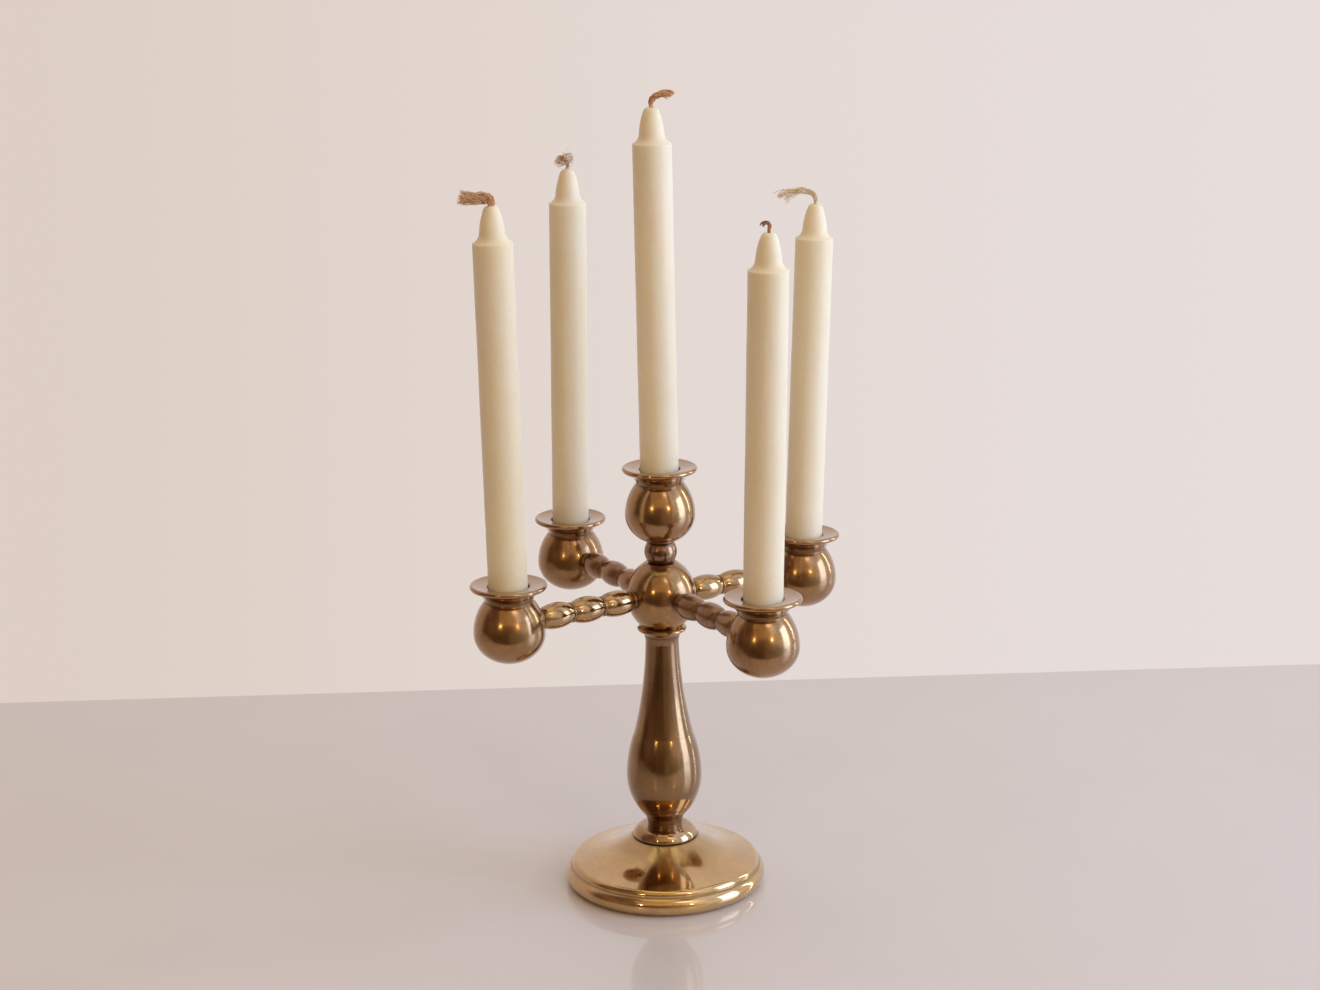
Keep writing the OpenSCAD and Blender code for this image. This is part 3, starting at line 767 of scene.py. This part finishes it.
def lay_yarns(curve, route, count, thick, loose, fan, draw):
    """Yarns laid along a route: tight where it leaves the wax, then loose, and fanned out at its end."""
    last = len(route) - 1
    aside = Vector((0.54, 0.84, 0.02))
    frames = []
    for i in range(last + 1):
        ahead = route[min(i + 1, last)] - route[max(i - 1, 0)]
        aside = (aside - ahead * aside.dot(ahead) / ahead.length_squared).normalized()
        frames.append((aside, ahead.normalized().cross(aside)))
    for _ in range(count):
        place = math.sqrt(draw.random())
        angle, twist = draw.uniform(0, math.tau), draw.uniform(2.2, 3.4)
        wander = [draw.uniform(0, math.tau) for _ in range(4)]
        fly = draw.uniform(0.2, 1.0)
        end = int(last * draw.uniform(0.86, 1.0))
        points = []
        for i in range(end + 1):
            t = i / last
            swell = wick_r - 0.25 + loose * min(1, t * 2.2) + fan * fly * max(0, t - 0.55) ** 1.5 * 3.3
            turn_angle = angle + twist * math.tau * t * (1 - 0.5 * t)
            u, v = frames[i]
            shake = 0.35 * loose * min(1, 2 * t)
            off = (u * (math.cos(turn_angle) * place * swell + shake * math.sin(9 * t + wander[0])
                        + shake * 0.6 * math.sin(23 * t + wander[1]))
                   + v * (math.sin(turn_angle) * place * swell + shake * math.sin(8 * t + wander[2])
                          + shake * 0.6 * math.sin(21 * t + wander[3])))
            points.append(route[i] + off)
        radius = thick * draw.uniform(0.6, 1.35)
        strand(curve, points, [radius * (1 - 0.45 * i / last) for i in range(end + 1)])


def cotton(name, light, dark):
    """Undyed cotton between a light and a dark tone, with fine fibres along it and painted shade in their
    hollows.
    """
    material = bpy.data.materials.new(name)
    material.use_nodes = True
    tree = material.node_tree
    shader = tree.nodes["Principled BSDF"]
    shader.inputs["Roughness"].default_value = 0.9
    shader.inputs["Sheen Weight"].default_value = 0.3
    shader.inputs["Sheen Roughness"].default_value = 0.4
    point = tree.nodes.new("ShaderNodeTexCoord").outputs["Object"]
    fibre = noise(tree, point, 2600, 3, 0.6, 0.5)
    soft = noise(tree, point, 260, 3)
    colour = mix(tree, ramp(tree, soft, [(0.42, 0.0), (0.58, 1.0)]), light, dark)
    # Painted shade: the low places of the fibre relief are darkened toward the dark tone.
    hollow_shade = ramp(tree, fibre, [(0.4, 0.3), (0.6, 0.0)])
    tree.links.new(mix(tree, hollow_shade, colour, dark), shader.inputs["Base Color"])
    relief = put(tree, "ShaderNodeBump", Strength=0.6, Distance=0.00015)
    tree.links.new(fibre, relief.inputs["Height"])
    tree.links.new(relief.outputs["Normal"], shader.inputs["Normal"])
    return material


cotton_tones = (((0.93, 0.62, 0.36), (0.62, 0.31, 0.14)), ((0.94, 0.86, 0.68), (0.76, 0.60, 0.38)),
                ((0.98, 0.86, 0.68), (0.58, 0.38, 0.23)), ((0.92, 0.66, 0.43), (0.66, 0.38, 0.20)),
                ((0.72, 0.40, 0.24), (0.36, 0.16, 0.08)))
cottons = [cotton(f"wick_cotton_{name}", *tones) for name, tones in zip(candle_names, cotton_tones)]
wick_draw = random.Random(11)
wick_depth = 1.5
yarn_count = (90, 36, 20, 120, 26)
yarn_r = (0.17, 0.25, 0.22, 0.16, 0.18)
yarn_loose = (0.9, 0.8, 1.5, 2.0, 0.35)
yarn_fan = (2, 6, 5, 3, 1)
for k, name in enumerate(candle_names):
    top = Vector((0, 0, candle_l[k] + tip_h))
    free = [top - Vector((0, 0, wick_depth)), top] + [top + Vector(p) for p in wick_routes[k]]
    route = smooth_route(free, 110)
    cord = bpy.data.curves.new(f"wick_{name}_strands", "CURVE")
    cord.dimensions = "3D"
    cord.bevel_depth = mm
    cord.bevel_resolution = 1
    cord.use_fill_caps = True
    lay_yarns(cord, route, yarn_count[k], yarn_r[k], yarn_loose[k], yarn_fan[k], wick_draw)
    holder = bpy.data.objects.new(f"wick_{name}_curve", cord)
    bpy.context.scene.collection.objects.link(holder)
    bpy.context.view_layer.update()
    spun = bpy.data.meshes.new_from_object(holder.evaluated_get(bpy.context.evaluated_depsgraph_get()))
    bpy.data.objects.remove(holder)
    bm = bmesh.new()
    bm.from_mesh(spun)
    bmesh.ops.remove_doubles(bm, verts=bm.verts, dist=1e-7)
    bmesh.ops.recalc_face_normals(bm, faces=bm.faces)
    wick = piece_of(f"wick_{name}_twisted", bm)
    wick.data.transform(in_socket(k))
    wick.data.materials.append(cottons[k])
    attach(wick, f"candle_{name}_body")
    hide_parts(f"wick_{name}")

# ---------------------------------------------------------------------------
# Table, room and camera
# A plain pale glossy table top, a pale room that is bright on the wall side
# and dim on the other, a tall window to one side, and two small warm lamps
# that show as points on every brass ball.
# ---------------------------------------------------------------------------
away = Vector((0.5433, 0.8395, 0))
right = Vector((0.8395, -0.5433, 0))
up = Vector((0, 0, 1))
heart = Vector((0, 0, 0.19))


def lacquer():
    """Pale painted wood under a clear glossy lacquer."""
    material = bpy.data.materials.new("table_lacquer")
    material.use_nodes = True
    tree = material.node_tree
    shader = tree.nodes["Principled BSDF"]
    shader.inputs["Coat Weight"].default_value = 1.0
    shader.inputs["Coat Roughness"].default_value = 0.05
    shader.inputs["Coat IOR"].default_value = 1.45
    point = tree.nodes.new("ShaderNodeTexCoord").outputs["Object"]
    soft = ramp(tree, noise(tree, point, 6, 3), [(0.3, 0.0), (0.7, 1.0)])
    tree.links.new(mix(tree, soft, (0.74, 0.70, 0.70), (0.72, 0.68, 0.68)), shader.inputs["Base Color"])
    tree.links.new(ramp(tree, soft, [(0.0, 0.34), (1.0, 0.4)]), shader.inputs["Roughness"])
    return material


table_back, table_front, table_half_w = 0.35, 0.42, 1.9
table_turn = math.radians(2.5)
bm = bmesh.new()
bmesh.ops.create_grid(bm, x_segments=1, y_segments=1, size=1)
bmesh.ops.scale(bm, vec=(table_half_w, (table_back + table_front) / 2, 1), verts=bm.verts)
bmesh.ops.translate(bm, vec=(0, (table_back - table_front) / 2, 0), verts=bm.verts)
heading = Matrix.Rotation(math.atan2(right.y, right.x) + table_turn, 4, "Z")
bmesh.ops.transform(bm, matrix=heading, verts=bm.verts)
table = piece_of("table_top", bm)
table.data.materials.append(lacquer())

world = bpy.data.worlds.new("room")
bpy.context.scene.world = world
world.use_nodes = True
tree = world.node_tree
sky = tree.nodes["Background"]
facing = tree.nodes.new("ShaderNodeTexCoord").outputs["Generated"]
turned_away = put(tree, "ShaderNodeVectorMath", operation="DOT_PRODUCT")
tree.links.new(facing, turned_away.inputs[0])
turned_away.inputs[1].default_value = away
side = maths(tree, "MULTIPLY_ADD", turned_away.outputs["Value"], 0.5)
side.node.inputs[2].default_value = 0.5
rightward = put(tree, "ShaderNodeVectorMath", operation="DOT_PRODUCT")
tree.links.new(facing, rightward.inputs[0])
rightward.inputs[1].default_value = right
across = maths(tree, "MULTIPLY_ADD", rightward.outputs["Value"], 0.5)
across.node.inputs[2].default_value = 0.5
glow = ramp(tree, across, [(0.0, (0.25, 0.15, 0.1)), (0.3, (0.27, 0.16, 0.1)), (0.5, (0.34, 0.21, 0.12)),
                           (0.75, (0.85, 0.68, 0.48)), (0.93, (1.0, 1.0, 1.0))])
clutter = ramp(tree, noise(tree, facing, 2.6, 4), [(0.42, 0.6), (0.6, 1.0)])
dim = mix(tree, 1.0, glow, clutter, "MULTIPLY")
height = put(tree, "ShaderNodeSeparateXYZ")
tree.links.new(facing, height.inputs[0])
raised = maths(tree, "MULTIPLY_ADD", height.outputs["Z"], 0.5)
raised.node.inputs[2].default_value = 0.5
dim = mix(tree, 1.0, dim, ramp(tree, raised, [(0.44, 0.6), (0.54, 1.0)]), "MULTIPLY")
lit = ramp(tree, side, [(0.46, 0.0), (0.62, 1.0)])
wall = ramp(tree, across, [(0.0, (0.56, 0.43, 0.35)), (0.5, (0.77, 0.686, 0.658)), (1.0, (0.84, 0.79, 0.78))])
walls = mix(tree, lit, dim, wall)
ceiling = ramp(tree, raised, [(0.93, 0.0), (0.985, 1.0)])
room = mix(tree, ceiling, walls, (0.55, 0.46, 0.38))
seen = tree.nodes.new("ShaderNodeLightPath").outputs["Is Camera Ray"]
backdrop = ramp(tree, across, [(0.38, (0.73, 0.62, 0.55)), (0.5, (0.775, 0.69, 0.65)),
                               (0.62, (0.80, 0.725, 0.715))])
tree.links.new(mix(tree, seen, room, backdrop), sky.inputs["Color"])


def lamp(name, angle, rise, distance, width, tall, watts, colour):
    """A flat light facing the candelabra, at an angle to the camera's right and a rise above level."""
    angle, rise = math.radians(angle), math.radians(rise)
    outwards = (right * math.sin(angle) - away * math.cos(angle)) * math.cos(rise) + up * math.sin(rise)
    light = bpy.data.lights.new(name, "AREA")
    light.shape = "RECTANGLE"
    light.size, light.size_y = width, tall
    light.energy, light.color = watts, colour
    holder = bpy.data.objects.new(name, light)
    holder.matrix_world = (Matrix.Translation(heart + outwards * distance)
                           @ outwards.to_track_quat("Z", "Y").to_matrix().to_4x4())
    bpy.context.scene.collection.objects.link(holder)


lamp("window", 76, 10, 1.7, 0.7, 1.1, 13, (0.5, 0.66, 1.0))
lamp("window_strip", 111, 12, 1.7, 0.08, 1.0, 2.5, (0.8, 0.95, 1.0))
lamp("sky_side", 60, 45, 2.0, 2.2, 1.6, 6.5, (0.4, 0.55, 1.0))
lamp("room_front", 0, 40, 2.0, 2.4, 1.6, 4.5, (1.0, 0.74, 0.38))
lamp("ceiling_lamp_right", 28.5, 16, 2.2, 0.05, 0.05, 2, (1.0, 0.84, 0.5))
lamp("ceiling_lamp_left", -28.5, 16, 2.2, 0.05, 0.05, 2, (1.0, 0.8, 0.4))
lamp("warm_shelf", 27, 49, 2.0, 0.5, 0.3, 0.8, (1.0, 0.8, 0.6))
lamp("soft_overhead", 0, 88, 2.4, 1.6, 1.6, 4, (1.0, 0.95, 0.5))

lens = bpy.data.cameras.new("camera")
lens.lens = 66.713
lens.sensor_width = 36
tilt, roll = math.radians(14.63), math.radians(0.871)
forward = away * math.cos(tilt) - up * math.sin(tilt)
level_up = right.cross(forward)
rolled_right = right * math.cos(roll) - level_up * math.sin(roll)
rolled_up = right * math.sin(roll) + level_up * math.cos(roll)
standpoint = Matrix.Translation((-0.7279, -1.1248, 0.5832))
aim = Matrix((rolled_right, rolled_up, -forward)).transposed().to_4x4()
camera = bpy.data.objects.new("camera", lens)
camera.matrix_world = standpoint @ aim
bpy.context.scene.collection.objects.link(camera)
bpy.context.scene.camera = camera
bpy.context.scene.view_settings.view_transform = "Standard"
